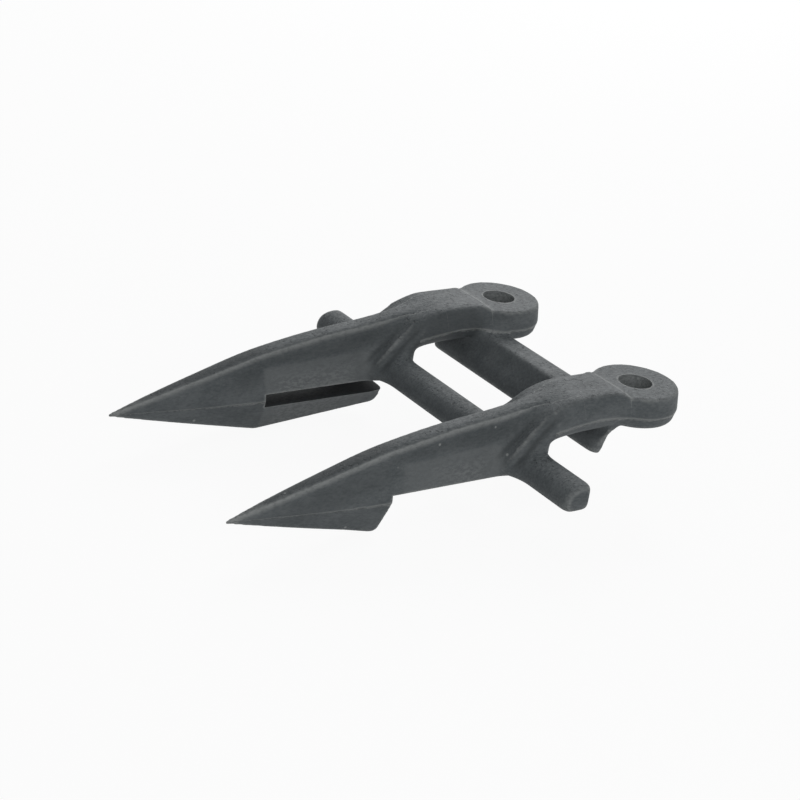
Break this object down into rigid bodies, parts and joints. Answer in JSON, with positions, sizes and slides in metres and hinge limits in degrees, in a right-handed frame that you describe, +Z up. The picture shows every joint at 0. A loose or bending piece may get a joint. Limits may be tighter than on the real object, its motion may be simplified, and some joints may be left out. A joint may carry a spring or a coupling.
{
  "type": "mower knife guard",
  "caption": "Forged double guard with pointed fingers that carry a mower knife in a slot, joined by a front and a rear bar, with flat bolt eyes at the back.",
  "frame": {"origin": "midway between the two bolt holes, on the plane of the flat eye faces", "axes": "+X across the guard from the lipped finger to the open one, +Y to the rear, away from the finger tips, +Z up out of the eye faces"},
  "size_m": [0.1468, 0.1685, 0.0391],
  "materials": {
    "forged_steel": "thin dark slate coating over forged scale, satin"
  },
  "bodies": {
    "root": {"knife_guard": "forged_steel"}
  },
  "joints": []
}
